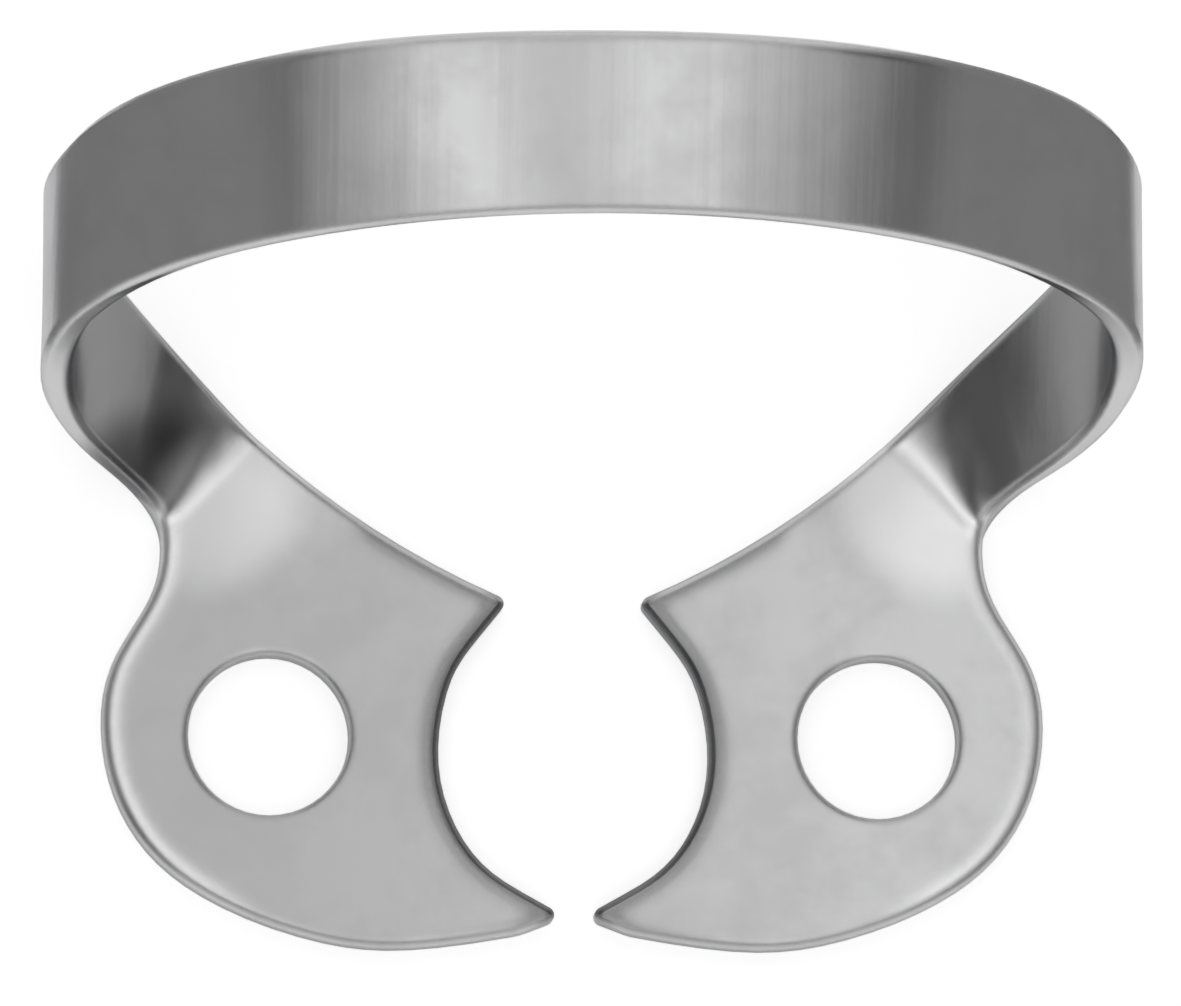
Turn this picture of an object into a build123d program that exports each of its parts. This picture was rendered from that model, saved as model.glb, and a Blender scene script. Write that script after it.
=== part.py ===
from build123d import *
import math
import os

os.makedirs("parts", exist_ok=True)

# Rubber dam clamp: one strip of spring steel, stamped, bent and tumbled.
# Millimetres. X runs from jaw to jaw, Y from the jaws towards the bow, Z away from the gum.
# The part is the same on both sides of the plane X = 0, and its jaws lie flat on Z = 0.

# Sheet, and how far tumbling has worn its edges back
sheet_t = 0.75
edge_wear = 0.15
hole_edge_wear = 0.10

# Arch: each edge of the strip is half an ellipse on its own leaning plane, all measured on
# the middle of the sheet. The rear edge is the higher one at the top, and its shoulders are
# fuller than an ellipse by a share of its size.
arch_half_w = 12.43
front_foot_y = 5.66
front_lean = 17.9
front_widest_up = 7.27
front_rise = 7.52
rear_foot_y = 10.18
rear_lean = 14.7
rear_widest_up = 6.74
rear_rise = 8.97
rear_narrower = 0.04
rear_fuller = 0.055

# Sides, below the widest place: how far in from it the edges come, and where they are there.
# Lower down the edges are a share of the way out from the neck to the side.
front_side_in = 0.24
front_side = (7.03, 4.48)
rear_side_in = 0.97
rear_side = (10.69, 4.08)
front_low_share = 0.62
front_low = (6.30, 2.72)
rear_low_share = 0.68
rear_low = (9.55, 2.25)

# Jaws: forceps hole, outline of the lobe round it, and the tooth edge between the two prongs
hole_x = 7.20
hole_y = 0.10
hole_r = 1.90
lobe_outer_side = ((10.08, 3.20), (10.90, 1.76), (11.12, 0.0), (10.76, -1.50), (9.93, -2.78))
lobe_front_side = ((8.55, -3.80), (6.45, -4.63), (4.10, -4.93), (1.47, -4.60))
prong_front = (0.24, -4.16)
prong_rear = (1.52, 3.36)
prong_tip_r = 0.20
tooth_front_side = ((2.08, -3.00), (2.99, -1.56))
tooth_waist = (3.20, -0.15)
tooth_rear_side = (2.94, 1.30)
front_prong_way = (0.82, 0.57)
rear_prong_way = (-0.62, 0.78)
lobe_end_way = (-0.93, 0.37)
jaw_rear_side = (4.75, 5.07)

# Necks: corners of each jaw where its neck begins, and the bend up from the jaw
neck_outer = (9.74, 4.55)
neck_inner = (7.42, 7.12)
bend_outer_shift = (0.29, 0.93)
bend_outer_up = 0.75
bend_inner_shift = (1.18, 1.08)
bend_inner_up = 0.85

# Bevel ground along the top of each tooth edge
bevel_in = 0.36
bevel_down = 0.46
bevel_over = 0.30
bevel_far_x = -0.32
bevel_steps = 8

mid = sheet_t / 2

# Right jaw plate, cut off square through the sheet where the neck begins
with BuildPart() as jaw:
    with BuildSketch():
        with BuildLine():
            Spline(
                neck_outer,
                *lobe_outer_side,
                *lobe_front_side,
                prong_front,
                tangents=((0.0, -1.0), lobe_end_way),
            )
            tooth_edge = Spline(
                prong_front,
                *tooth_front_side,
                tooth_waist,
                tooth_rear_side,
                prong_rear,
                tangents=(front_prong_way, rear_prong_way),
            )
            rear_arc = ThreePointArc(prong_rear, jaw_rear_side, neck_inner)
            Line(neck_inner, neck_outer)
        make_face()
        front_tip = vertices().sort_by_distance(prong_front)[0]
        rear_tip = vertices().sort_by_distance(prong_rear)[0]
        fillet([front_tip, rear_tip], radius=prong_tip_r)
        with Locations((hole_x, hole_y)):
            Circle(hole_r, mode=Mode.SUBTRACT)
    extrude(amount=sheet_t)


def bevel_section(height, inset):
    """Flat outline over the tooth gap, whose jaw side is the tooth edge moved into the jaw."""
    points = []
    for step in range(bevel_steps + 1):
        way = tooth_edge % (step / bevel_steps)
        points.append((tooth_edge @ (step / bevel_steps)) + Vector(way.Y, -way.X) * inset)
    points.insert(0, points[0] - (tooth_edge % 0) * bevel_over)
    points.append(points[-1] + (tooth_edge % 1) * bevel_over)
    far_rear = (bevel_far_x, points[-1].Y)
    far_front = (bevel_far_x, points[0].Y)
    with BuildSketch(Plane.XY.offset(height)) as section:
        with BuildLine():
            Spline(points)
            Polyline(points[-1], far_rear, far_front, points[0])
        make_face()
    return section.face()


# Grinding tool, whose slanted side cuts the bevel of the right tooth edge
with BuildPart() as grinder:
    low_section = bevel_section(sheet_t - 2 * bevel_down, -bevel_in)
    high_section = bevel_section(sheet_t + bevel_down, 2 * bevel_in)
    loft([low_section, high_section], ruled=True)

# Strip: bow, sides and necks in one piece, from the left jaw over the arch to the right jaw.
# Straight lines join its front edge to its rear edge, so it twists as it bends.
arch_turns = (0, 15, 30, 45, 60, 75, 90)


def arch_point(foot_y, lean, half_w, widest_up, rise, turn, fuller=0.0):
    """Point on the right half of one arched edge, at a turn in degrees from the top."""
    reach = 1 + fuller * math.sin(math.radians(2 * turn)) ** 2
    height = widest_up + rise * reach * math.cos(math.radians(turn))
    out = half_w * reach * math.sin(math.radians(turn))
    tilt = math.radians(lean)
    return Vector(out, foot_y + height * math.sin(tilt), height * math.cos(tilt))


def low_point(neck, side, share, low):
    """Point of the right half of one edge below its side, a share of the way out to the side."""
    return Vector(neck[0] + (side.X - neck[0]) * share, *low)


def whole_edge(right_half):
    """Points of a whole edge, from the left jaw to the right jaw, from those of its right half."""
    left_half = [Vector(-point.X, point.Y, point.Z) for point in right_half[1:]]
    return left_half[::-1] + right_half


# Right half of each edge, from the top down: arch, side, bend and jaw
front_half = [
    arch_point(front_foot_y, front_lean, arch_half_w, front_widest_up, front_rise, turn)
    for turn in arch_turns
]
front_half.append(Vector(arch_half_w - front_side_in, *front_side))
front_half.append(low_point(neck_outer, front_half[-1], front_low_share, front_low))
front_half.append(Vector(*neck_outer, bend_outer_up) + Vector(*bend_outer_shift))
front_half.append(Vector(*neck_outer, mid))
rear_half_w = arch_half_w - rear_narrower
rear_half = [
    arch_point(rear_foot_y, rear_lean, rear_half_w, rear_widest_up, rear_rise, turn, rear_fuller)
    for turn in arch_turns
]
rear_half.append(Vector(arch_half_w - rear_side_in, *rear_side))
rear_half.append(low_point(neck_inner, rear_half[-1], rear_low_share, rear_low))
rear_half.append(Vector(*neck_inner, bend_inner_up) + Vector(*bend_inner_shift))
rear_half.append(Vector(*neck_inner, mid))
front_points = whole_edge(front_half)
rear_points = whole_edge(rear_half)

# How far along the strip each pair of points lies, so that both edges run in step
places = [0.0]
for step in range(1, len(front_points)):
    front_step = (front_points[step] - front_points[step - 1]).length
    rear_step = (rear_points[step] - rear_points[step - 1]).length
    places.append(places[-1] + (front_step + rear_step) / 2)

rear_way = rear_arc % 1
front_ends = (Vector(0, 1, 0), Vector(0, -1, 0))
rear_ends = (Vector(-rear_way.X, rear_way.Y, 0), rear_way * -1)
front_edge = Edge.make_spline(front_points, tangents=front_ends, parameters=places, scale=False)
rear_edge = Edge.make_spline(rear_points, tangents=rear_ends, parameters=places, scale=False)


def skin_edge(edge, points, ends, shift):
    """An edge of the strip, moved off the middle of the sheet towards one of its skins."""
    moved = []
    for point, front_point, rear_point in zip(points, front_points, rear_points):
        outward = edge.tangent_at(point).cross(rear_point - front_point).normalized()
        moved.append(point + outward * shift)
    return Edge.make_spline(moved, tangents=ends, parameters=places, scale=False)


front_inside = skin_edge(front_edge, front_points, front_ends, -mid)
front_outside = skin_edge(front_edge, front_points, front_ends, mid)
rear_inside = skin_edge(rear_edge, rear_points, rear_ends, -mid)
rear_outside = skin_edge(rear_edge, rear_points, rear_ends, mid)
strip_faces = [
    Face.make_surface_from_curves(front_inside, rear_inside),
    Face.make_surface_from_curves(front_outside, rear_outside),
    Face.make_surface_from_curves(front_inside, front_outside),
    Face.make_surface_from_curves(rear_inside, rear_outside),
]
for end in (0, 1):
    corners = [front_inside @ end, rear_inside @ end, rear_outside @ end, front_outside @ end]
    strip_faces.append(Face(Wire.make_polygon(corners)))
strip = Solid(Shell(strip_faces))

# One clamp: the strip, and a jaw at each end
with BuildPart() as clamp:
    add(strip)
    add(jaw.part)
    add(mirror(jaw.part, about=Plane.YZ))

    # The four long edges run on round both jaws
    long_edges = [edge for edge in clamp.edges() if edge.length > 3 * arch_half_w]
    chamfer(long_edges, length=edge_wear)
    hole_edges = []
    for edge in clamp.edges().filter_by(GeomType.CIRCLE):
        if abs(edge.radius - hole_r) < hole_edge_wear / 2 and edge.length > 6 * hole_r:
            hole_edges.append(edge)
    chamfer(hole_edges, length=hole_edge_wear)

    add(grinder.part, mode=Mode.SUBTRACT)
    add(mirror(grinder.part, about=Plane.YZ), mode=Mode.SUBTRACT)

clamp.part.label = "clamp"
export_step(clamp.part, "parts/clamp.step")
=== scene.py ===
"""Looks of a rubber dam clamp: tumbled spring steel in a white studio."""

import logging
import math
from dataclasses import dataclass, field
from enum import Enum

import bpy
from mathutils import Matrix, Vector


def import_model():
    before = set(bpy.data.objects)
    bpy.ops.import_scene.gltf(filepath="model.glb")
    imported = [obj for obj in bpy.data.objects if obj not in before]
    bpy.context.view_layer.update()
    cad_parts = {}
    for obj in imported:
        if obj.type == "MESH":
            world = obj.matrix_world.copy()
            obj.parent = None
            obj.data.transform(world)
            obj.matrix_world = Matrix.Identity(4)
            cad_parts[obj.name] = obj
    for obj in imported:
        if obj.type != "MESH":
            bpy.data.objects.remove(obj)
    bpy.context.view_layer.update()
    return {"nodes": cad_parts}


log = logging.getLogger("clamp")

MM = 0.001
WHITE = (1.0, 1.0, 1.0, 1.0)

# Middle of the range of a noise or a mask.
MIDDLE = 0.5

# Places of a Mix node's colour sockets, since its number sockets have the same names.
MIX_BELOW, MIX_ABOVE, MIX_RESULT = 6, 7, 2

Colour = tuple[float, float, float, float]
Spot = tuple[float, float, float]
Direction = tuple[float, float, float]
Span = tuple[float, float]
PlanSpot = tuple[float, float]


class SocketKind(Enum):
    """Kinds of socket on a node group."""

    NUMBER = "NodeSocketFloat"
    VECTOR = "NodeSocketVector"


class RaySort(Enum):
    """Kinds of ray that a lamp or a studio panel can be hidden from."""

    CAMERA = "visible_camera"
    DIFFUSE = "visible_diffuse"
    SHADOW = "visible_shadow"


@dataclass(frozen=True)
class Waves:
    """How many finer waves a noise has on its broad ones, and how strong they are."""

    detail: float
    roughness: float = 0.5


class Link:
    """Small helper that adds nodes to one tree and joins their sockets."""

    def __init__(self, tree: bpy.types.NodeTree) -> None:
        """Starts on a tree.

        Args:
            tree: The node tree that the nodes go into.
        """
        self.tree = tree

    def add(self, kind: str, **settings: object) -> bpy.types.Node:
        """Adds a node and sets its own properties.

        Args:
            kind: The node's type name.
            **settings: Properties of the node, by name.

        Returns:
            The new node.
        """
        node = self.tree.nodes.new(kind)
        for name, value in settings.items():
            setattr(node, name, value)
        return node

    def join(self, source: bpy.types.NodeSocket, target: bpy.types.NodeSocket) -> None:
        """Links one output to one input."""
        self.tree.links.new(source, target)

    def feed(self, value: object, socket: bpy.types.NodeSocket) -> None:
        """Gives an input a number, or joins an output to it.

        Args:
            value: A number, a tuple or an output. None leaves the input alone.
            socket: The input.
        """
        if value is None:
            return
        if isinstance(value, bpy.types.NodeSocket):
            self.join(value, socket)
        else:
            socket.default_value = value

    def math(self, operation: str, first: object, second: object = None) -> bpy.types.NodeSocket:
        """Adds a Math node.

        Args:
            operation: The node's operation.
            first: A number or an output for the first input.
            second: A number or an output for the second input, if it has one.

        Returns:
            The node's value output.
        """
        node = self.add("ShaderNodeMath", operation=operation)
        for socket, value in zip(node.inputs, (first, second)):
            self.feed(value, socket)
        return node.outputs["Value"]

    def product(self, *factors: object) -> bpy.types.NodeSocket:
        """Multiplies two or more numbers and outputs.

        Args:
            *factors: The numbers and outputs.

        Returns:
            Their product.
        """
        result = factors[0]
        for factor in factors[1:]:
            result = self.math("MULTIPLY", result, factor)
        return result

    def vector(self, operation: str, first: object, second: object = None) -> bpy.types.Node:
        """Adds a Vector Math node.

        Args:
            operation: The node's operation.
            first: A tuple or an output for the first vector.
            second: A tuple or an output for the second vector, if it has one.

        Returns:
            The node.
        """
        node = self.add("ShaderNodeVectorMath", operation=operation)
        for socket, value in zip(node.inputs, (first, second)):
            self.feed(value, socket)
        return node

    def split(self, vector: bpy.types.NodeSocket) -> bpy.types.NodeOutputs:
        """Splits a vector.

        Args:
            vector: The output that is split.

        Returns:
            Its X, Y and Z outputs, by name.
        """
        node = self.add("ShaderNodeSeparateXYZ")
        self.join(vector, node.inputs[0])
        return node.outputs

    def right_half(self, place: bpy.types.NodeOutputs) -> bpy.types.NodeSocket:
        """Mirrors a place onto the clamp's right half, seen from above.

        Args:
            place: The X, Y and Z of the place.

        Returns:
            The mirrored place, with a Z of 0.
        """
        node = self.add("ShaderNodeCombineXYZ")
        self.join(self.math("ABSOLUTE", place["X"]), node.inputs["X"])
        self.join(place["Y"], node.inputs["Y"])
        return node.outputs["Vector"]

    def ramp(self, value: bpy.types.NodeSocket, span: Span) -> bpy.types.NodeSocket:
        """Rises smoothly from 0 to 1 over a span of values.

        Args:
            value: The output that is read.
            span: Value that gives 0, and value that gives 1.

        Returns:
            The risen value.
        """
        node = self.add("ShaderNodeMapRange", interpolation_type="SMOOTHSTEP")
        self.join(value, node.inputs["Value"])
        node.inputs["From Min"].default_value, node.inputs["From Max"].default_value = span
        return node.outputs["Result"]

    def noise(
        self, place: bpy.types.NodeSocket, per_mm: bpy.types.NodeSocket, waves: Waves
    ) -> bpy.types.NodeSocket:
        """Adds a noise in space.

        Args:
            place: Where it is read, in mm.
            per_mm: How many waves there are in a millimetre.
            waves: Its finer waves.

        Returns:
            The noise, about 0.5 on average.
        """
        node = self.add("ShaderNodeTexNoise", noise_dimensions="3D")
        node.inputs["Detail"].default_value = waves.detail
        node.inputs["Roughness"].default_value = waves.roughness
        self.join(place, node.inputs["Vector"])
        self.join(per_mm, node.inputs["Scale"])
        return node.outputs["Fac"]

    def blend(self, mask: object, below: object, above: object) -> bpy.types.NodeSocket:
        """Lays one colour over another.

        Args:
            mask: Share of the upper colour.
            below: The lower colour.
            above: The upper colour.

        Returns:
            The mixed colour.
        """
        node = self.add("ShaderNodeMix", data_type="RGBA")
        self.feed(mask, node.inputs["Factor"])
        self.feed(below, node.inputs[MIX_BELOW])
        self.feed(above, node.inputs[MIX_ABOVE])
        return node.outputs[MIX_RESULT]

    def place_in_mm(self) -> bpy.types.NodeSocket:
        """Reads where the surface lies on its object.

        Returns:
            The place, in mm.
        """
        place = self.add("ShaderNodeTexCoord")
        in_mm = self.add("ShaderNodeMapping")
        in_mm.inputs["Scale"].default_value = (1 / MM, 1 / MM, 1 / MM)
        self.join(place.outputs["Object"], in_mm.inputs["Vector"])
        return in_mm.outputs["Vector"]


class ShaderGroup(Link):
    """A shader node group with named sockets, and the helper that fills it."""

    def __init__(
        self,
        name: str,
        inputs: dict[str, tuple[SocketKind, object]],
        outputs: dict[str, SocketKind],
    ) -> None:
        """Makes the empty group.

        Args:
            name: The group's name.
            inputs: Kind and default value of each input, by name.
            outputs: Kind of each output, by name.
        """
        super().__init__(bpy.data.node_groups.new(name, "ShaderNodeTree"))
        for label, (kind, default) in inputs.items():
            socket = self.tree.interface.new_socket(
                label, in_out="INPUT", socket_type=kind.value
            )
            if default is not None:
                socket.default_value = default
        for label, kind in outputs.items():
            self.tree.interface.new_socket(label, in_out="OUTPUT", socket_type=kind.value)
        self.start = self.add("NodeGroupInput")
        self.end = self.add("NodeGroupOutput")

    def given(self, label: str) -> bpy.types.NodeSocket:
        """The value that an input of the group brings."""
        return self.start.outputs[label]

    def give(self, label: str, value: bpy.types.NodeSocket) -> None:
        """Sends a value out of the group."""
        self.join(value, self.end.inputs[label])


@dataclass
class Effects:
    """Shared surface effects, each a node group that is built once.

    Places are in mm, as the groups read them, and only the reach of a rounding is in metres. A
    span holds the value at which an effect is absent and the value at which it is full.
    """

    patch_waves: Waves = Waves(3.0, 0.55)
    grain_waves: Waves = Waves(4.0, 0.6)
    streak_waves: Waves = Waves(2.0)
    broad_per_mm: float = 0.6
    fine_per_mm: float = 3.0
    wear_reach: float = 0.22 * MM
    wear_break_up: float = 0.4
    wear_samples: int = 6
    rim_reach: float = 0.80 * MM
    rim_roll: float = 0.28
    rim_samples: int = 8
    cut_share: float = 0.35

    sheet: float = 0.75
    sheet_slack: float = 0.05
    hole: Spot = (7.2, 0.1, 0.0)
    bend_corner: Spot = (9.74, 4.55, 0.0)
    over_bend: Direction = (0.742, 0.670, 0.0)
    along_bend: Direction = (-0.670, 0.742, 0.0)
    arch_middle: Spot = (0.0, 8.5, 7.0)
    ground_reach: float = 4.7

    rubbed_turn: Span = (0.995, 0.90)
    slanted: Span = (0.97, 0.85)
    turned_to_tooth: Span = (-0.05, -0.25)
    dish_over_bend: Span = (-3.2, 0.9)
    dish_along_bend: Span = (-1.0, 2.6)
    dish_height: Span = (2.4, 1.0)
    facing_in: Span = (0.15, -0.45)
    above_jaw: Span = (0.76, 1.7)
    oval: Span = (1.0, 0.0)
    right_side: Span = (-1.0, 1.0)
    jaw_height: Span = (2.0, 1.0)
    outer_side: Span = (7.0, 9.0)
    clear_of_hole: Span = (2.5, 3.0)
    tooth_side: Span = (5.4, 4.7)
    facing_up: Span = (0.80, 0.97)
    upright: Span = (0.80, 0.45)
    rolled_turn: Span = (0.02, 0.20)
    ground_turn: Span = (0.04, 0.13)

    groups: dict[str, ShaderGroup] = field(default_factory=dict)

    def build(self) -> None:
        """Builds every group."""
        self.groups["mottle"] = self._mottle()
        self.groups["edge_wear"] = self._edge_wear()
        self.groups["streaks"] = self._streaks()
        self.groups["ground_edge"] = self._ground_edge()
        self.groups["neck_rise"] = self._neck_rise()
        self.groups["inner_side"] = self._inner_side()
        self.groups["soft_spot"] = self._soft_spot()
        self.groups["jaw_rim"] = self._jaw_rim()

    def place(self, link: Link, name: str, **values: object) -> bpy.types.NodeOutputs:
        """Puts a group into a material.

        Args:
            link: Helper on the material's tree.
            name: The group's name.
            **values: Input values, by name, with _ for a space.

        Returns:
            The outputs of the group node, by name.
        """
        node = link.add("ShaderNodeGroup", node_tree=self.groups[name].tree)
        for label, value in values.items():
            link.feed(value, node.inputs[label.replace("_", " ")])
        return node.outputs

    def _mottle(self) -> ShaderGroup:
        """Soft patches and a finer grain, for steel and for paper.

        Returns:
            The group.
        """
        group = ShaderGroup(
            "mottle",
            {
                "Place": (SocketKind.VECTOR, None),
                "Patch per mm": (SocketKind.NUMBER, None),
                "Grain per mm": (SocketKind.NUMBER, None),
            },
            {"Patch": SocketKind.NUMBER, "Grain": SocketKind.NUMBER},
        )
        for label, waves in (("Patch", self.patch_waves), ("Grain", self.grain_waves)):
            per_mm = group.given(label + " per mm")
            group.give(label, group.noise(group.given("Place"), per_mm, waves))
        return group

    def _edge_wear(self) -> ShaderGroup:
        """Mask of the corners that tumbling has rubbed, broken up by a grain.

        Returns:
            The group.
        """
        group = ShaderGroup(
            "edge_wear",
            {
                "Reach": (SocketKind.NUMBER, self.wear_reach),
                "Grain": (SocketKind.NUMBER, None),
                "Break up": (SocketKind.NUMBER, self.wear_break_up),
            },
            {"Mask": SocketKind.NUMBER, "Normal": SocketKind.VECTOR},
        )
        rounded = group.add("ShaderNodeBevel", samples=self.wear_samples)
        group.join(group.given("Reach"), rounded.inputs["Radius"])
        surface = group.add("ShaderNodeNewGeometry")
        likeness = group.vector(
            "DOT_PRODUCT", rounded.outputs["Normal"], surface.outputs["Normal"]
        )
        corner = group.ramp(likeness.outputs["Value"], self.rubbed_turn)
        swing = group.math("SUBTRACT", group.given("Grain"), MIDDLE)
        share = group.math("ADD", group.product(swing, group.given("Break up")), 1.0)
        group.give("Mask", group.math("MINIMUM", group.product(corner, share), 1.0))
        group.give("Normal", rounded.outputs["Normal"])
        return group

    def _streaks(self) -> ShaderGroup:
        """Faint ripples left by rolling and bending, which run straight across a strip.

        Returns:
            The group.
        """
        group = ShaderGroup(
            "streaks",
            {
                "Place": (SocketKind.VECTOR, None),
                "Across": (SocketKind.VECTOR, None),
                "Broad per mm": (SocketKind.NUMBER, self.broad_per_mm),
                "Fine per mm": (SocketKind.NUMBER, self.fine_per_mm),
            },
            {"Broad": SocketKind.NUMBER, "Fine": SocketKind.NUMBER},
        )
        across = group.vector("PROJECT", group.given("Place"), group.given("Across"))
        along = group.vector("SUBTRACT", group.given("Place"), across.outputs["Vector"])
        for label in ("Broad", "Fine"):
            per_mm = group.given(label + " per mm")
            group.give(label, group.noise(along.outputs["Vector"], per_mm, self.streak_waves))
        return group

    def _ground_edge(self) -> ShaderGroup:
        """Mask of the bevels along the tooth edges, slanted and turned to the tooth's middle, where
        the steel is darkened as painted shade.

        Returns:
            The group.
        """
        group = ShaderGroup(
            "ground_edge",
            {
                "Place": (SocketKind.VECTOR, None),
                "Reach": (SocketKind.NUMBER, self.ground_reach),
                "Sheet": (SocketKind.NUMBER, self.sheet),
            },
            {"Mask": SocketKind.NUMBER},
        )
        level = group.vector("MULTIPLY", group.given("Place"), (1.0, 1.0, 0.0))
        away = group.vector("LENGTH", level.outputs["Vector"])
        outward = group.vector("NORMALIZE", level.outputs["Vector"])
        surface = group.add("ShaderNodeNewGeometry")
        facing = surface.outputs["True Normal"]
        turned = group.vector("DOT_PRODUCT", outward.outputs["Vector"], facing)
        slanted = group.ramp(group.split(facing)["Z"], self.slanted)
        towards = group.ramp(turned.outputs["Value"], self.turned_to_tooth)
        near = group.math("LESS_THAN", away.outputs["Value"], group.given("Reach"))
        jaw_top = group.math("ADD", group.given("Sheet"), self.sheet_slack)
        low = group.math("LESS_THAN", group.split(group.given("Place"))["Z"], jaw_top)
        group.give("Mask", group.product(near, low, slanted, towards))
        return group

    def _neck_rise(self) -> ShaderGroup:
        """Height of the soft dish that bending leaves in each jaw, just before its neck.

        Returns:
            The group.
        """
        group = ShaderGroup(
            "neck_rise",
            {
                "Place": (SocketKind.VECTOR, None),
                "Corner": (SocketKind.VECTOR, self.bend_corner),
                "Over": (SocketKind.VECTOR, self.over_bend),
                "Along": (SocketKind.VECTOR, self.along_bend),
            },
            {"Height": SocketKind.NUMBER},
        )
        place = group.split(group.given("Place"))
        offset = group.vector("SUBTRACT", group.right_half(place), group.given("Corner"))
        rises = []
        for label, span in (("Over", self.dish_over_bend), ("Along", self.dish_along_bend)):
            way = group.vector("DOT_PRODUCT", offset.outputs["Vector"], group.given(label))
            rises.append(group.ramp(way.outputs["Value"], span))
        on_jaw = group.ramp(place["Z"], self.dish_height)
        group.give("Height", group.product(*rises, on_jaw))
        return group

    def _inner_side(self) -> ShaderGroup:
        """Mask of the inner side of the arch, above the jaws, where the steel is darkened as
        painted shade.

        Returns:
            The group.
        """
        group = ShaderGroup(
            "inner_side",
            {
                "Place": (SocketKind.VECTOR, None),
                "Middle": (SocketKind.VECTOR, self.arch_middle),
            },
            {"Mask": SocketKind.NUMBER},
        )
        place = group.given("Place")
        outward = group.vector("SUBTRACT", place, group.given("Middle"))
        way = group.vector("NORMALIZE", outward.outputs["Vector"])
        surface = group.add("ShaderNodeNewGeometry")
        turned = group.vector("DOT_PRODUCT", way.outputs["Vector"], surface.outputs["Normal"])
        inside = group.ramp(turned.outputs["Value"], self.facing_in)
        above_jaw = group.ramp(group.split(place)["Z"], self.above_jaw)
        group.give("Mask", group.product(inside, above_jaw))
        return group

    def _soft_spot(self) -> ShaderGroup:
        """Mask of a soft oval spot on one or both necks, between two heights.

        Returns:
            The group.
        """
        group = ShaderGroup(
            "soft_spot",
            {
                "Place": (SocketKind.VECTOR, None),
                "Middle": (SocketKind.VECTOR, None),
                "Over": (SocketKind.VECTOR, self.over_bend),
                "Along": (SocketKind.VECTOR, self.along_bend),
                "Half width": (SocketKind.NUMBER, None),
                "Half length": (SocketKind.NUMBER, None),
                "Full height": (SocketKind.NUMBER, None),
                "End height": (SocketKind.NUMBER, None),
                "Left only": (SocketKind.NUMBER, None),
            },
            {"Mask": SocketKind.NUMBER},
        )
        place = group.split(group.given("Place"))
        offset = group.vector("SUBTRACT", group.right_half(place), group.given("Middle"))
        squares = []
        for label, half in (("Over", "Half width"), ("Along", "Half length")):
            way = group.vector("DOT_PRODUCT", offset.outputs["Vector"], group.given(label))
            share = group.math("DIVIDE", way.outputs["Value"], group.given(half))
            squares.append(group.product(share, share))
        spot = group.add("ShaderNodeMapRange", interpolation_type="SMOOTHERSTEP")
        spot.inputs["From Min"].default_value, spot.inputs["From Max"].default_value = self.oval
        group.join(group.math("ADD", *squares), spot.inputs["Value"])
        band = group.add("ShaderNodeMapRange")
        group.join(place["Z"], band.inputs["Value"])
        group.join(group.given("End height"), band.inputs["From Min"])
        group.join(group.given("Full height"), band.inputs["From Max"])
        right = group.product(group.ramp(place["X"], self.right_side), group.given("Left only"))
        kept = group.math("SUBTRACT", 1.0, right)
        group.give("Mask", group.product(spot.outputs["Result"], band.outputs["Result"], kept))
        return group

    def _jaw_rim(self) -> ShaderGroup:
        """Soft roll of the jaws' outer rims, with masks of the rolled, ground and cut rims, which
        take a painted highlight or painted shade.

        Returns:
            The group.
        """
        group = ShaderGroup(
            "jaw_rim",
            {
                "Place": (SocketKind.VECTOR, None),
                "Normal": (SocketKind.VECTOR, None),
                "Reach": (SocketKind.NUMBER, self.rim_reach),
                "Roll": (SocketKind.NUMBER, self.rim_roll),
                "Hole": (SocketKind.VECTOR, self.hole),
            },
            {
                "Normal": SocketKind.VECTOR,
                "Ground": SocketKind.NUMBER,
                "Rolled": SocketKind.NUMBER,
                "Cut": SocketKind.NUMBER,
            },
        )
        rounded = group.add("ShaderNodeBevel", samples=self.rim_samples)
        group.join(group.given("Reach"), rounded.inputs["Radius"])
        facing = group.add("ShaderNodeNewGeometry").outputs["Normal"]
        tilt = group.vector("SUBTRACT", rounded.outputs["Normal"], facing).outputs["Vector"]
        place = group.split(group.given("Place"))
        across = group.math("ABSOLUTE", place["X"])
        low = group.ramp(place["Z"], self.jaw_height)

        from_hole = group.vector("DISTANCE", group.right_half(place), group.given("Hole"))
        outer = group.product(
            group.ramp(across, self.outer_side),
            group.ramp(from_hole.outputs["Value"], self.clear_of_hole),
            low,
        )
        roll = group.vector("SCALE", tilt)
        group.join(group.product(outer, group.given("Roll")), roll.inputs["Scale"])
        rolled = group.vector("ADD", group.given("Normal"), roll.outputs["Vector"])
        unit = group.vector("NORMALIZE", rolled.outputs["Vector"])
        group.give("Normal", unit.outputs["Vector"])

        bent = group.ramp(group.vector("LENGTH", tilt).outputs["Value"], self.rolled_turn)
        height = group.split(facing)["Z"]
        # Rolled rims that face up take a painted highlight.
        group.give("Rolled", group.product(bent, group.ramp(height, self.facing_up), outer))
        upright = group.ramp(group.math("ABSOLUTE", height), self.upright)
        # Upright faces low on the jaws take a share of painted shade.
        group.give("Cut", group.product(upright, low, self.cut_share))
        # Rims beside the tooth, turned towards it, take painted shade.
        side = group.math("SIGN", place["X"])
        inward = group.product(group.split(tilt)["X"], side, -1.0)
        beside_tooth = group.product(group.ramp(across, self.tooth_side), low)
        group.give("Ground", group.product(group.ramp(inward, self.ground_turn), beside_tooth))
        return group


@dataclass(frozen=True)
class SoftSpot:
    """Size and place of one soft spot on the necks, in mm."""

    middle: Spot
    half_width: float
    half_length: float
    full_height: float
    end_height: float
    left_only: bool = False

    def values(self) -> dict[str, object]:
        """The spot as inputs of the group soft_spot.

        Returns:
            The input values, by name.
        """
        return {
            "Middle": self.middle,
            "Half_width": self.half_width,
            "Half_length": self.half_length,
            "Full_height": self.full_height,
            "End_height": self.end_height,
            "Left_only": float(self.left_only),
        }


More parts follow.
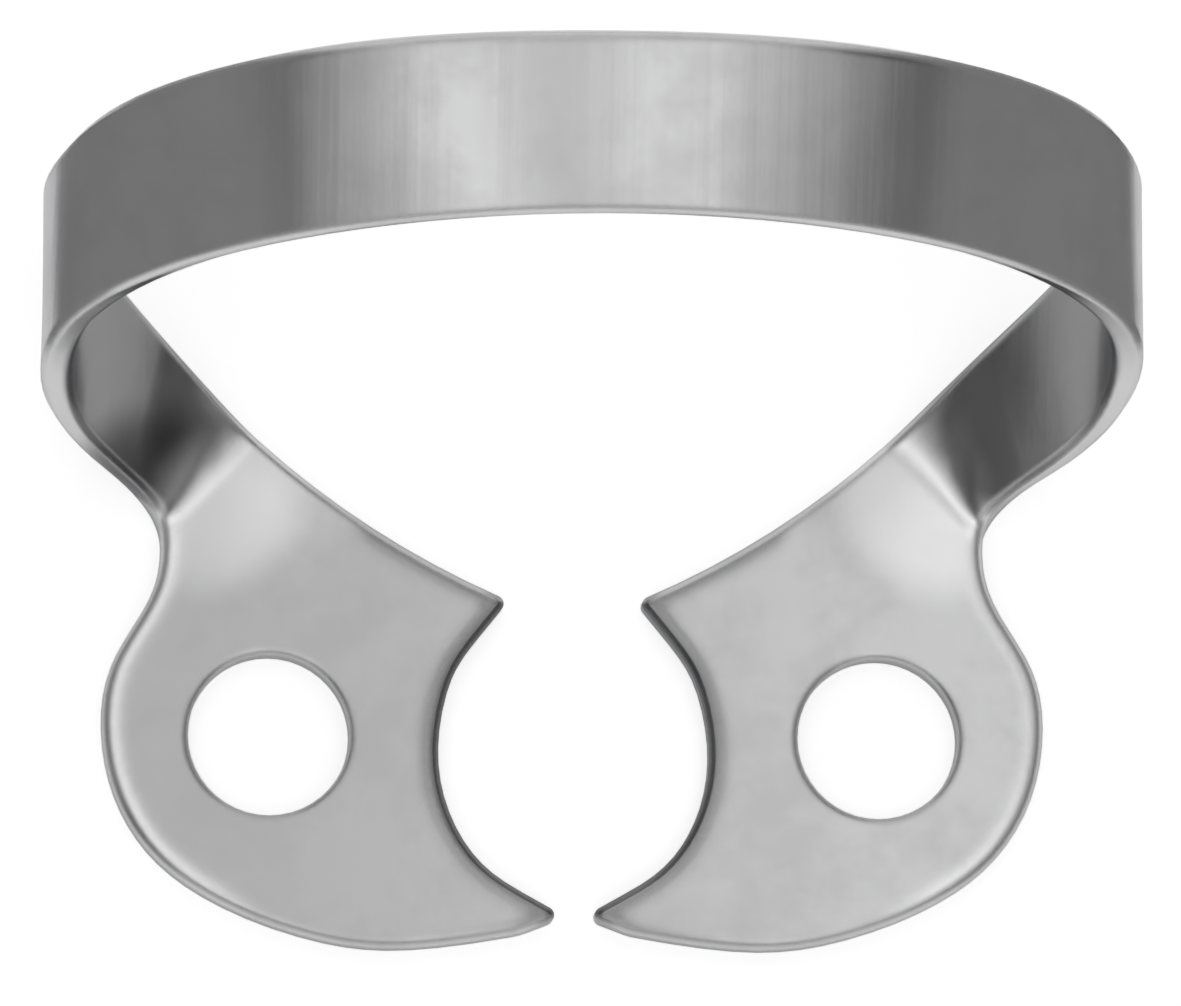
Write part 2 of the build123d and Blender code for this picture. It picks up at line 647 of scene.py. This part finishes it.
@dataclass(frozen=True)
class TumbledSteel:
    """Satin stainless spring steel, rolled, bent and tumbled, with painted shade and painted
    highlights in its colour.
    """

    colour: Colour = (0.60, 0.60, 0.605, 1.0)
    patch_colour: Colour = (0.555, 0.555, 0.56, 1.0)
    rubbed_colour: Colour = (0.62, 0.62, 0.62, 1.0)
    # Painted shade: the inner side of the arch is darkened.
    inner_shade_colour: Colour = (0.27, 0.27, 0.273, 1.0)
    # Painted shade: a dark spot in the hollow of the left bend.
    left_neck_shade_colour: Colour = (0.07, 0.07, 0.072, 1.0)
    # Painted highlight: a bright spot on each neck.
    neck_highlight_colour: Colour = (0.80, 0.80, 0.80, 1.0)
    # Painted highlight on the rolled outer rims of the jaws.
    rolled_rim_highlight_colour: Colour = (0.92, 0.92, 0.92, 1.0)
    # Painted shade on the rims beside the tooth.
    tooth_rim_shade_colour: Colour = (0.28, 0.28, 0.285, 1.0)
    # Painted shade on the tooth bevels and the cut faces.
    bevel_and_cut_shade_colour: Colour = (0.20, 0.20, 0.205, 1.0)
    grazing_tint: Colour = (0.75, 0.75, 0.76, 1.0)

    # Painted highlight on each neck, where the bend catches light.
    neck_highlight_spot: SoftSpot = SoftSpot((8.2, 5.5, 0.0), 2.2, 2.9, 1.0, 2.2)
    # Painted shade in the hollow of the left bend, on the left neck only.
    left_neck_shade_spot: SoftSpot = SoftSpot((10.3, 5.7, 0.0), 2.0, 3.2, 0.95, 0.75, left_only=True)
    patch_per_mm: float = 0.55
    grain_per_mm: float = 6.0
    patch_span: Span = (0.35, 0.70)
    bow_height: Span = (1.5, 5.0)
    strip_across: Direction = (0.0, 0.96, 0.27)

    roughness: float = 0.25
    roughness_spread: float = 0.025
    neck_rise: float = 0.13 * MM
    streak_height: float = 0.020 * MM
    fine_streak_height: float = 0.0035 * MM
    grain_height: float = 0.0010 * MM

    def material(self, effects: Effects) -> bpy.types.Material:
        """Builds the steel.

        Args:
            effects: The shared effects.

        Returns:
            The material.
        """
        steel = bpy.data.materials.new("tumbled_steel")
        steel.use_nodes = True
        steel.node_tree.nodes.clear()
        link = Link(steel.node_tree)
        spot = link.place_in_mm()
        mottle = effects.place(
            link,
            "mottle",
            Place=spot,
            Patch_per_mm=self.patch_per_mm,
            Grain_per_mm=self.grain_per_mm,
        )
        patch = link.ramp(mottle["Patch"], self.patch_span)
        wear = effects.place(link, "edge_wear", Grain=mottle["Grain"])
        rim = effects.place(link, "jaw_rim", Place=spot, Normal=wear["Normal"])

        shader = link.add("ShaderNodeBsdfPrincipled")
        shader.inputs["Metallic"].default_value = 1.0
        shader.inputs["Specular Tint"].default_value = self.grazing_tint
        link.join(
            self._layered_colour(link, effects, spot, patch, wear, rim),
            shader.inputs["Base Color"],
        )
        link.join(self._gloss(link, patch, mottle["Grain"]), shader.inputs["Roughness"])
        link.join(
            self._relief(link, effects, spot, mottle["Grain"], rim["Normal"]),
            shader.inputs["Normal"],
        )
        end = link.add("ShaderNodeOutputMaterial")
        link.join(shader.outputs["BSDF"], end.inputs["Surface"])
        return steel

    def _layered_colour(
        self,
        link: Link,
        effects: Effects,
        spot: bpy.types.NodeSocket,
        patch: bpy.types.NodeSocket,
        wear: bpy.types.NodeOutputs,
        rim: bpy.types.NodeOutputs,
    ) -> bpy.types.NodeSocket:
        """Lays the colours over each other, from the plain sheet to the ground edges; the inner
        side, the neck spots, the rolled and tooth-side rims and the ground and cut edges carry
        painted shade or painted highlights.

        Args:
            link: Helper on the material's tree.
            effects: The shared effects.
            spot: Place on the surface, in mm.
            patch: Mask of the soft patches.
            wear: Outputs of the edge wear.
            rim: Outputs of the jaw rim.

        Returns:
            The colour.
        """
        inner = effects.place(link, "inner_side", Place=spot)
        left_neck_shade_spot = effects.place(link, "soft_spot", Place=spot, **self.left_neck_shade_spot.values())
        neck_highlight_spot = effects.place(link, "soft_spot", Place=spot, **self.neck_highlight_spot.values())
        ground = effects.place(link, "ground_edge", Place=spot)
        # Where the tooth bevels and cut faces take painted shade.
        edge_shade_mask = link.math("MAXIMUM", ground["Mask"], rim["Cut"])
        colour = self.colour
        for mask, layer in (
            (patch, self.patch_colour),
            # Painted shade on the inner side of the arch.
            (inner["Mask"], self.inner_shade_colour),
            # Painted shade in the hollow of the left bend.
            (left_neck_shade_spot["Mask"], self.left_neck_shade_colour),
            # Painted highlight on each neck.
            (neck_highlight_spot["Mask"], self.neck_highlight_colour),
            # Painted highlight on the rolled outer rims.
            (rim["Rolled"], self.rolled_rim_highlight_colour),
            # Painted shade on the rims beside the tooth.
            (rim["Ground"], self.tooth_rim_shade_colour),
            (wear["Mask"], self.rubbed_colour),
            # Painted shade on the tooth bevels and cut faces.
            (edge_shade_mask, self.bevel_and_cut_shade_colour),
        ):
            colour = link.blend(mask, colour, layer)
        return colour

    def _gloss(
        self, link: Link, patch: bpy.types.NodeSocket, grain: bpy.types.NodeSocket
    ) -> bpy.types.NodeSocket:
        """Varies the roughness a little with the patches and the grain.

        Args:
            link: Helper on the material's tree.
            patch: Mask of the soft patches.
            grain: The fine grain.

        Returns:
            The roughness.
        """
        rough = self.roughness
        for swing in (grain, patch):
            away = link.math("SUBTRACT", swing, MIDDLE)
            rough = link.math("ADD", link.product(away, self.roughness_spread), rough)
        return rough

    def _relief(
        self,
        link: Link,
        effects: Effects,
        spot: bpy.types.NodeSocket,
        grain: bpy.types.NodeSocket,
        normal: bpy.types.NodeSocket,
    ) -> bpy.types.NodeSocket:
        """Adds the dish at the neck, the streaks of the bow and the grain to a normal.

        Args:
            link: Helper on the material's tree.
            effects: The shared effects.
            spot: Place on the surface, in mm.
            grain: The fine grain.
            normal: The normal that it starts from.

        Returns:
            The normal.
        """
        neck = effects.place(link, "neck_rise", Place=spot)
        streaks = effects.place(link, "streaks", Place=spot, Across=self.strip_across)
        on_bow = link.ramp(link.split(spot)["Z"], self.bow_height)
        for level, reach in (
            (neck["Height"], self.neck_rise),
            (link.product(streaks["Broad"], on_bow), self.streak_height),
            (link.product(streaks["Fine"], on_bow), self.fine_streak_height),
            (grain, self.grain_height),
        ):
            bump = link.add("ShaderNodeBump")
            bump.inputs["Distance"].default_value = reach
            link.join(level, bump.inputs["Height"])
            link.join(normal, bump.inputs["Normal"])
            normal = bump.outputs["Normal"]
        return normal


@dataclass(frozen=True)
class WhitePaper:
    """Matt white paper, the floor of the studio."""

    colour: Colour = (0.86, 0.86, 0.86, 1.0)
    shade: Colour = (0.84, 0.84, 0.84, 1.0)
    patch_per_mm: float = 0.05
    grain_per_mm: float = 4.0
    roughness: float = 0.9
    lift: float = 0.66
    shadow_reach: float = 15 * MM
    shadow_samples: int = 8

    def material(self, effects: Effects) -> bpy.types.Material:
        """Builds the paper.

        Args:
            effects: The shared effects.

        Returns:
            The material.
        """
        paper = bpy.data.materials.new("white_paper")
        paper.use_nodes = True
        paper.node_tree.nodes.clear()
        link = Link(paper.node_tree)
        mottle = effects.place(
            link,
            "mottle",
            Place=link.place_in_mm(),
            Patch_per_mm=self.patch_per_mm,
            Grain_per_mm=self.grain_per_mm,
        )
        rays = link.add("ShaderNodeLightPath").outputs
        # Reflections see the paper's glow dimmed near the clamp by ambient occlusion: a painted
        # shadow.
        shaded = link.add("ShaderNodeAmbientOcclusion", samples=self.shadow_samples)
        shaded.inputs["Distance"].default_value = self.shadow_reach
        mirrored = link.product(
            link.math("MAXIMUM", rays["Is Glossy Ray"], rays["Is Transmission Ray"]),
            shaded.outputs["AO"],
        )
        seen = link.math("MAXIMUM", rays["Is Camera Ray"], mirrored)
        shader = link.add("ShaderNodeBsdfPrincipled")
        shader.inputs["Roughness"].default_value = self.roughness
        shader.inputs["Specular IOR Level"].default_value = 0.0
        shader.inputs["Emission Color"].default_value = WHITE
        link.join(
            link.blend(mottle["Patch"], self.colour, self.shade), shader.inputs["Base Color"]
        )
        link.join(link.product(seen, self.lift), shader.inputs["Emission Strength"])
        end = link.add("ShaderNodeOutputMaterial")
        link.join(shader.outputs["BSDF"], end.inputs["Surface"])
        return paper


@dataclass(frozen=True)
class GreyCard:
    """Grey card whose glow is painted light, as of a softly lit card, which a studio stands beside
    bright metal.
    """

    colour: Colour = (0.05, 0.05, 0.05, 1.0)
    glow: float = 0.26

    def material(self) -> bpy.types.Material:
        """Builds the card.

        Returns:
            The material.
        """
        card = bpy.data.materials.new("grey_panel")
        card.use_nodes = True
        shader = card.node_tree.nodes["Principled BSDF"]
        shader.inputs["Base Color"].default_value = self.colour
        shader.inputs["Roughness"].default_value = 1.0
        shader.inputs["Specular IOR Level"].default_value = 0.0
        shader.inputs["Emission Color"].default_value = WHITE
        # The glow is painted light in place of light falling on the card.
        shader.inputs["Emission Strength"].default_value = self.glow
        return card


@dataclass
class Clamp:
    """The clamp itself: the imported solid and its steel."""

    node: bpy.types.Object
    finish: TumbledSteel = TumbledSteel()

    def dress(self, effects: Effects) -> None:
        """Gives the clamp its steel.

        Args:
            effects: The shared effects.
        """
        steel = self.finish.material(effects)
        for slot in self.node.material_slots:
            slot.material = steel


@dataclass(frozen=True)
class Lamp:
    """One soft lamp of the studio; lengths in mm, and a glow of 1 is that of a white wall."""

    name: str
    place: Spot
    width: float
    depth: float
    glow: float
    turned: bool = False


@dataclass(frozen=True)
class Panel:
    """One upright panel of the studio, given by its ends seen from above; lengths in mm."""

    name: str
    start: PlanSpot
    stop: PlanSpot
    bottom: float
    top: float


@dataclass
class Studio:
    """White floor, soft lamps and grey panels round the clamp.

    The strips over the clamp are bright on both sides of a dimmer middle, and they give the bow
    its light and dark bands.
    """

    floor_half: float = 600 * MM
    floor_drop: float = 0.02 * MM
    sky: float = 0.03
    horizon: float = 0.80
    horizon_height: Span = (0.32, 0.16)
    horizon_ahead: Span = (0.35, 0.75)
    lamps: tuple[Lamp, ...] = (
        Lamp("left_edge_strip", (-170, -35, 250), 60, 310, 0.31),
        Lamp("left_outer_strip", (-110, -35, 250), 60, 310, 0.58),
        Lamp("left_strip", (-55, -35, 250), 50, 310, 1.16),
        Lamp("middle_strip", (-5, -35, 250), 50, 310, 0.50),
        Lamp("right_strip", (45, -35, 250), 50, 310, 1.14),
        Lamp("right_outer_strip", (100, -35, 250), 60, 310, 0.62),
        Lamp("right_edge_strip", (160, -120, 250), 60, 140, 0.36),
        Lamp("front_fill", (-5, -120, 255), 150, 140, 0.18),
        Lamp("back_box", (-5, 200, 250), 270, 150, 0.78),
        Lamp("far_left_box", (-330, -60, 250), 240, 340, 0.08),
        Lamp("far_right_box", (320, -60, 250), 240, 340, 0.08),
        Lamp("low_left_box", (-450, 0, 120), 400, 120, 0.14, turned=True),
        Lamp("low_back_box", (0, 420, 200), 700, 200, 0.68, turned=True),
        Lamp("low_front_box", (0, -380, 200), 700, 200, 0.50, turned=True),
    )
    panels: tuple[Panel, ...] = (
        Panel("left_panel", (-18, -4), (-18, 40), 0.05, 24),
        Panel("right_panel", (18, -12), (18, 40), 1.4, 24),
    )
    paper: WhitePaper = WhitePaper()
    card: GreyCard = GreyCard()

    def build(self, effects: Effects) -> None:
        """Builds the floor, the world, the lamps and the panels.

        Args:
            effects: The shared effects.
        """
        self._floor(effects)
        self._world()
        for lamp in self.lamps:
            self._lamp(lamp)
        for panel in self.panels:
            self._panel(panel)

    def _sheet(self, name: str, corners: list[Spot]) -> bpy.types.Object:
        """Makes one flat sheet that isn't part of the clamp.

        Args:
            name: The sheet's name.
            corners: Its corners in order, in metres.

        Returns:
            The sheet.
        """
        mesh = bpy.data.meshes.new(name)
        mesh.from_pydata(corners, [], [range(len(corners))])
        sheet = bpy.data.objects.new(name, mesh)
        bpy.context.scene.collection.objects.link(sheet)
        return sheet

    def _floor(self, effects: Effects) -> None:
        """Lays the paper under the clamp.

        Args:
            effects: The shared effects.
        """
        half = self.floor_half
        around = ((-half, -half), (half, -half), (half, half), (-half, half))
        floor = self._sheet("floor", [(*corner, -self.floor_drop) for corner in around])
        floor.data.materials.append(self.paper.material(effects))

    def _world(self) -> None:
        """Sets a soft sky, lighter along the horizon in front of the clamp and behind it."""
        world = bpy.data.worlds.new("studio_sky")
        bpy.context.scene.world = world
        world.use_nodes = True
        link = Link(world.node_tree)
        way = link.split(link.add("ShaderNodeTexCoord").outputs["Generated"])
        low = link.ramp(link.math("ABSOLUTE", way["Z"]), self.horizon_height)
        ahead = link.ramp(link.math("ABSOLUTE", way["Y"]), self.horizon_ahead)
        lift = link.product(low, ahead, self.horizon - self.sky)
        sky = world.node_tree.nodes["Background"]
        sky.inputs["Color"].default_value = WHITE
        link.join(link.math("ADD", lift, self.sky), sky.inputs["Strength"])

    def _lamp(self, lamp: Lamp) -> None:
        """Hangs one soft lamp, facing straight down or turned to the clamp.

        Args:
            lamp: Its place, size and brightness.
        """
        data = bpy.data.lights.new(lamp.name, "AREA")
        data.shape = "RECTANGLE"
        data.size, data.size_y = lamp.width * MM, lamp.depth * MM
        data.energy = lamp.glow * math.pi * data.size * data.size_y
        lamp_object = bpy.data.objects.new(lamp.name, data)
        bpy.context.scene.collection.objects.link(lamp_object)
        middle = Vector(lamp.place) * MM
        lamp_object.location = middle
        if lamp.turned:
            lamp_object.rotation_euler = (-middle).to_track_quat("-Z", "Y").to_euler()
        setattr(lamp_object, RaySort.CAMERA.value, False)

    def _panel(self, panel: Panel) -> None:
        """Hangs one grey panel beside the clamp, which only reflections show.

        Args:
            panel: Its place and size.
        """
        corners = [
            (*panel.start, panel.bottom),
            (*panel.stop, panel.bottom),
            (*panel.stop, panel.top),
            (*panel.start, panel.top),
        ]
        sheet = self._sheet(panel.name, [tuple(side * MM for side in corner) for corner in corners])
        sheet.data.materials.append(self.card.material())
        for sort in RaySort:
            setattr(sheet, sort.value, False)


@dataclass(frozen=True)
class PhotoCamera:
    """The camera, at the photograph's viewing angle; angles in degrees."""

    azimuth: float = -28.01
    elevation: float = 79.66
    roll: float = 28.10
    distance: float = 300 * MM
    lens: float = 385.97
    nearest: float = 10 * MM
    farthest: float = 10.0
    target: Spot = (0.48 * MM, 5.80 * MM, 0.0)

    def build(self) -> None:
        """Makes the camera and gives it to the scene."""
        turn, rise = math.radians(self.azimuth), math.radians(self.elevation)
        back = Vector(
            (math.sin(turn) * math.cos(rise), -math.cos(turn) * math.cos(rise), math.sin(rise))
        )
        level_up = Vector(
            (-math.sin(turn) * math.sin(rise), math.cos(turn) * math.sin(rise), math.cos(rise))
        )
        level_right = level_up.cross(back)
        spin = math.radians(self.roll)
        right = level_right * math.cos(spin) + level_up * math.sin(spin)
        top = level_up * math.cos(spin) - level_right * math.sin(spin)
        data = bpy.data.cameras.new("photo_camera")
        data.lens = self.lens
        data.clip_start = self.nearest
        data.clip_end = self.farthest
        camera = bpy.data.objects.new("photo_camera", data)
        bpy.context.scene.collection.objects.link(camera)
        facing = Matrix((right, top, back)).transposed().to_4x4()
        stand = Vector(self.target) + back * self.distance
        camera.matrix_world = Matrix.Translation(stand) @ facing
        bpy.context.scene.camera = camera


def main() -> None:
    """Builds the clamp's looks and the studio."""
    logging.basicConfig(level=logging.INFO)
    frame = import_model()

    effects = Effects()
    effects.build()
    clamp = Clamp(frame["nodes"]["clamp"])
    clamp.dress(effects)
    log.info("clamp: dressed in tumbled steel")

    Studio().build(effects)
    log.info("studio: floor, lamps and panels in place")
    PhotoCamera().build()
    log.info("camera: set at the photograph's angle")
    bpy.context.scene.view_settings.view_transform = "Standard"

    bpy.context.view_layer.update()


if __name__ == "__main__":
    main()
